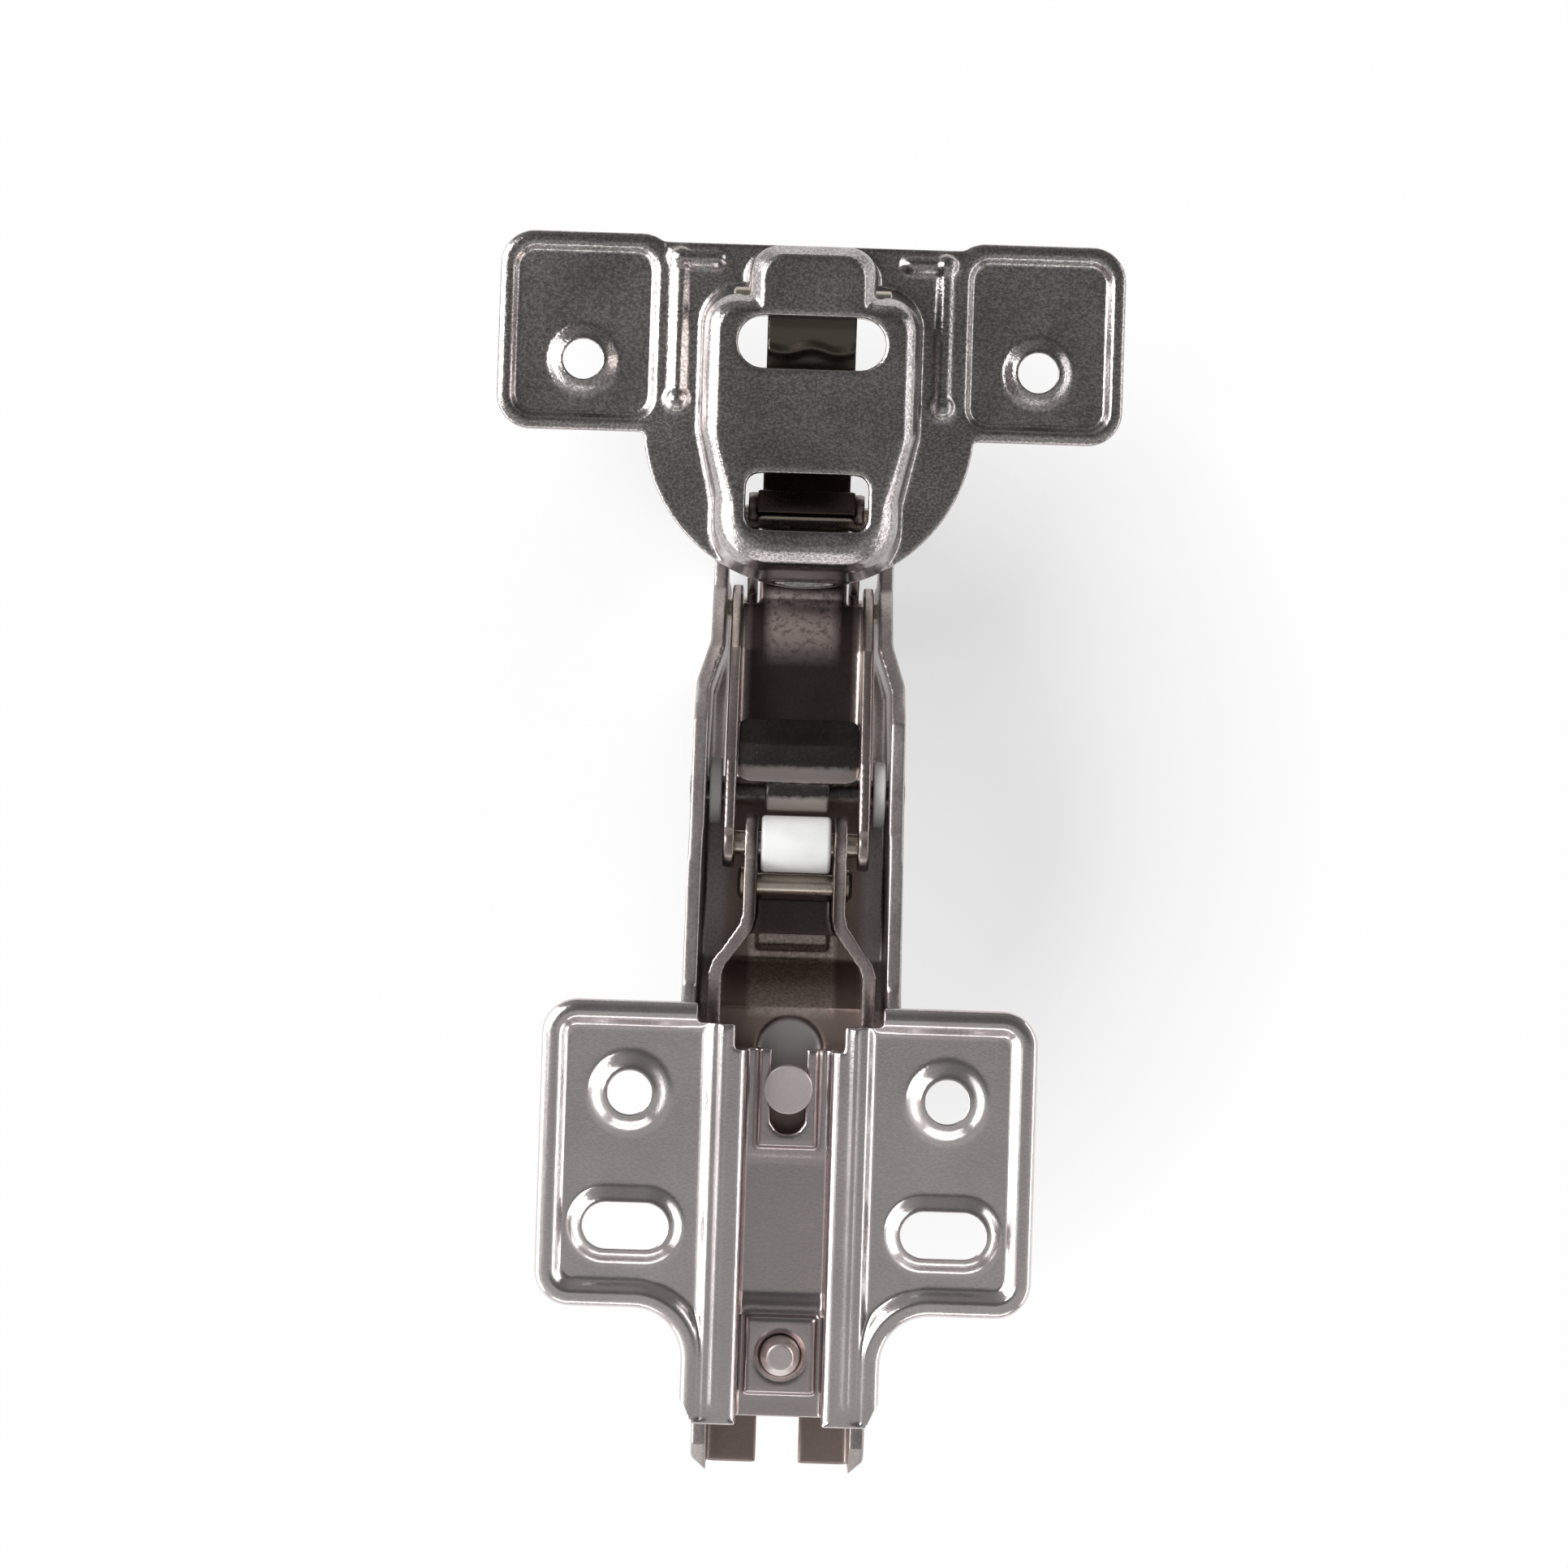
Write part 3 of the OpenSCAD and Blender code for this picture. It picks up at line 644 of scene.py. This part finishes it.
# height of the plate's pressed face
def plate_height(x, y):
    if x < RIB_X:
        height = RIB_TOP - rolled(x - CHANNEL_HALF, RIB_ROUND, RIB_FALL)
    else:
        inside = plate_inside(x, y)
        height = -rolled(inside, LIP_ROLL, LIP_FALL)
        height -= PANEL_DROP * (1.0 - fade((inside - LIP_ROLL) / (LIP_WIDE - LIP_ROLL)))
        for mount in CONE_FOOT:
            height = max(height, cone_height(x, y, mount) - PANEL_DROP)
        height = max(height, (PANEL_DROP + RIB_TOP) * fade((x - RIB_X) / RIB_SLOPE) - PANEL_DROP)
    return height - GROOVE_DEEP * math.exp(-((x - GROOVE_X) / GROOVE_WIDE) ** 2)


# rolled lips, pressed cones, grooved ribs and the channel's pressed panel
def press_plate(mesh):
    low, high = CHANNEL_PANEL
    for v, x, y, z, up in facing_points(mesh):
        x = abs(x)
        if x > CHANNEL_HALF and z > -PANEL_DROP - PANEL_SLACK and y > NECK_END:
            height = plate_height(x, y)
            if z > height or (up > UP_FACE and x > RIB_X):
                v.co.z = height * MM
        elif x < CHANNEL_HALF and up > UP_CHANNEL and abs(z - CHANNEL_Z) < CHANNEL_SLACK and low < y < high:
            ends = (1.0 - fade((y - low) / CHANNEL_SLOPE)) * (1.0 - fade((high - y) / CHANNEL_SLOPE))
            v.co.z = (CHANNEL_Z - CHANNEL_DROP * ends) * MM


# rolled rims, wide panels and pressed cones of the cup's wings
def press_cup(mesh):
    for v, x, y, z, up in facing_points(mesh):
        x = abs(x)
        edge = inside_rect(x, y, *CUP_WING)
        if x < CUP_WING_ROOT or z < CUP_SEAT - CUP_SHEET or edge < -OUTLINE_SLACK:
            continue
        free = 1.0 - fade((math.hypot(x, y - CUP_Y) - CUP_ROUND) / CUP_RIM)
        height = CUP_SEAT - free * rolled(edge, CUP_RIM, CUP_RIM_FALL)
        height -= CUP_DROP * (1.0 - fade(inside_rect(x, y, *CUP_PANEL) / CUP_SLOPE))
        away = math.hypot(x - CUP_HOLE_X, y - CUP_HOLE_Y)
        cone = CUP_CONE_RISE * fade((away - CUP_CONE_TOP) / CUP_CONE_WIDE)
        height = max(height, CUP_SEAT - CUP_DROP + cone)
        if up > UP_FACE or z > height:
            v.co.z = height * MM


# leaf that fills the room between the link's walls
def press_leaf(mesh):
    for v in mesh.vertices:
        v.co.x *= 1.0 + LEAF_SPREAD * (1.0 - fade((v.co.y / MM - LEAF_START) / LEAF_BLEND))


# shallow wave across the strip in the cup's slot
def press_strip(mesh):
    for v, x, y, _, up in facing_points(mesh):
        if up > UP_STRIP and abs(x) < STRIP_HALF and STRIP_Y[0] < y < STRIP_Y[1]:
            ridge = (y - WAVE_Y - WAVE_SWAY * math.cos(WAVE_TURN * x)) / WAVE_WIDE
            v.co.z += WAVE_HIGH * math.exp(-ridge * ridge) * MM


# solid or ring turned about the X axis through a node's middle
def turned(name, profile, ring=False):
    low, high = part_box(name)
    y, z = (low.y + high.y) / 2, (low.z + high.z) / 2
    work = bmesh.new()
    turn = [2 * math.pi * i / TURN_STEPS for i in range(TURN_STEPS)]
    rings = []
    for x, r in profile:
        places = [(x * MM, y + r * MM * math.cos(t), z + r * MM * math.sin(t)) for t in turn]
        rings.append([work.verts.new(place) for place in places])
    pairs = list(zip(rings, rings[1:]))
    if ring:
        pairs.append((rings[-1], rings[0]))
    else:
        work.faces.new(rings[0])
        work.faces.new(rings[-1])
    for a, b in pairs:
        for i in range(TURN_STEPS):
            j = (i + 1) % TURN_STEPS
            work.faces.new((a[i], b[i], b[j], a[j]))
    bmesh.ops.recalc_face_normals(work, faces=work.faces)
    mesh = bpy.data.meshes.new(name + "_turned")
    work.to_mesh(mesh)
    work.free()
    paint(mesh, name)
    mesh.set_sharp_from_angle(angle=SHARP)
    piece = bpy.data.objects.new(name + "_turned", mesh)
    bpy.context.collection.objects.link(piece)
    stand_for(piece, name)


# pin with rounded ends over a node's own length, less an inset
def pin_profile(name, soft, inset=0.0):
    low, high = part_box(name)
    x0, x1, r = low.x / MM + inset, high.x / MM - inset, (high.z - low.z) / 2 / MM
    curve = [(soft * (1 - math.cos(t)), r - soft + soft * math.sin(t)) for t in QUARTER]
    return [(x0 + d, q) for d, q in curve] + [(x1 - d, q) for d, q in reversed(curve)]


# tube wall with rounded outer corners and a bore
def ring_profile(name, bore, soft):
    outer = pin_profile(name, soft)
    return [(outer[0][0], bore), *outer, (outer[-1][0], bore)]


# profile on the other side of the middle plane
def mirrored(profile):
    return [(-x, r) for x, r in profile]


# rolled thread on a screw shank
def add_thread(name, radius, z0, z1, pitch):
    low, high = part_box(name)
    x, y = (low.x + high.x) / 2, (low.y + high.y) / 2
    curve = bpy.data.curves.new(name + "_thread", "CURVE")
    curve.dimensions = "3D"
    curve.bevel_depth = THREAD_BEAD * MM
    curve.bevel_resolution = 1
    line = curve.splines.new("POLY")
    line.points.add(int((z1 - z0) / pitch * THREAD_STEPS) - 1)
    for i, point in enumerate(line.points):
        t = 2 * math.pi * i / THREAD_STEPS
        z = (z0 + pitch * i / THREAD_STEPS) * MM
        point.co = (x + radius * MM * math.cos(t), y + radius * MM * math.sin(t), z, 1)
    curve.materials.append(MATERIALS[slot_of[name]])
    piece = bpy.data.objects.new(name + "_thread", curve)
    bpy.context.collection.objects.link(piece)
    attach(piece, body_of[name])


# pressed pieces: voxel, rounds of smoothing, share of faces kept, and form
PRESSED = {
    "mounting_plate": (0.2, 8, 0.35, press_plate),
    "arm": (0.22, 6, 0.3),
    "hinge_cup": (0.2, 8, 0.3, press_cup),
    "inner_link": (0.2, 5, 0.35, press_strip),
    "outer_link": (0.2, 3, 0.35),
    "spring_fork": (0.2, 5, 0.35),
    "leaf_spring": (0.16, 3, 0.35, press_leaf),
    "adjusting_screw": (0.1, 4, 0.35),
    "fixing_screw": (0.12, 5, 0.35),
    "fixing_washer": (0.14, 3, 0.35),
}

add_camera()
for name, settings in PRESSED.items():
    dress(name, *settings)
for name, settings in PINS.items():
    turned(name, pin_profile(name, *settings))
turned("fork_pin", mirrored(reversed(FORK_PIN_END)) + FORK_PIN_END)
turned("right_nose_rivet", NOSE_RIVET)
turned("left_nose_rivet", mirrored(NOSE_RIVET))
for name, settings in RINGS.items():
    turned(name, ring_profile(name, *settings), True)
for name, settings in THREADS.items():
    add_thread(name, *settings)


# 1 for rays from the eye, a mirror or glass
def seen_ray(tree):
    path = tree.nodes.new("ShaderNodeLightPath")
    seen = math_node(tree, "ADD", path.outputs["Is Camera Ray"], path.outputs["Is Glossy Ray"])
    seen = math_node(tree, "ADD", seen, path.outputs["Is Transmission Ray"])
    return math_node(tree, "MINIMUM", seen, 1.0)


# floor that shows white to the eye, far from the part most, and keeps the soft shadow
def add_floor(z):
    half = FLOOR_SIZE / 2
    mesh = bpy.data.meshes.new("floor")
    corners = [(-half, -half, z), (half, -half, z), (half, half, z), (-half, half, z)]
    mesh.from_pydata(corners, [], [(0, 1, 2, 3)])
    floor = bpy.data.objects.new("floor", mesh)
    bpy.context.collection.objects.link(floor)
    mat, tree, shader = new_material("floor")
    shader.inputs["Base Color"].default_value = FLOOR_COLOUR
    shader.inputs["Roughness"].default_value = FLOOR_ROUGH
    shader.inputs["Specular IOR Level"].default_value = FLOOR_SHEEN
    glow = add_node(tree, "ShaderNodeEmission", Color=(1, 1, 1, 1), Strength=1.0)
    away = share_away(tree, object_space(tree), (TARGET.x, TARGET.y, z), FLOOR_FAR[0])
    white = ramp(tree, away, [(FLOOR_NEAR[0] / FLOOR_FAR[0], FLOOR_NEAR[1]), (1.0, FLOOR_FAR[1])])
    mix = tree.nodes.new("ShaderNodeMixShader")
    tree.links.new(product(tree, seen_ray(tree), white), mix.inputs["Fac"])
    tree.links.new(shader.outputs["BSDF"], mix.inputs[1])
    tree.links.new(glow.outputs["Emission"], mix.inputs[2])
    tree.links.new(mix.outputs["Shader"], tree.nodes["Material Output"].inputs["Surface"])
    mesh.materials.append(mat)


# dim overhead and bright sides, as in a light tent
def add_world():
    world = bpy.data.worlds.new("world")
    bpy.context.scene.world = world
    world.use_nodes = True
    tree = world.node_tree
    back = tree.nodes["Background"]
    axes = axes_of(tree, tree.nodes.new("ShaderNodeTexCoord").outputs["Generated"])
    across = share_between(tree, axes["X"], -1.0, 1.0)
    along = share_between(tree, axes["Y"], -1.0, 1.0)
    sides = product(tree, ramp(tree, across, TENT_SIDE_X), ramp(tree, along, TENT_SIDE_Y))
    top = ramp(tree, along, TENT_TOP_Y)
    high = ramp(tree, axes["Z"], TENT_HIGH)
    tree.links.new(mix_colour(tree, high, sides, top), back.inputs["Color"])
    back.inputs["Strength"].default_value = TENT_STRENGTH


def add_lamp(name, place, aim, size, power):
    data = bpy.data.lights.new(name, "AREA")
    data.shape = "RECTANGLE"
    data.size, data.size_y = size
    data.energy = power
    lamp = bpy.data.objects.new(name, data)
    lamp.location = place
    lamp.rotation_euler = (Vector(aim) - Vector(place)).to_track_quat("-Z", "Y").to_euler()
    bpy.context.collection.objects.link(lamp)


add_floor(cad_box[0][2] - FLOOR_GAP)
add_world()
for name, settings in LAMPS.items():
    add_lamp(name, *settings)
bpy.context.scene.view_settings.view_transform = "Standard"
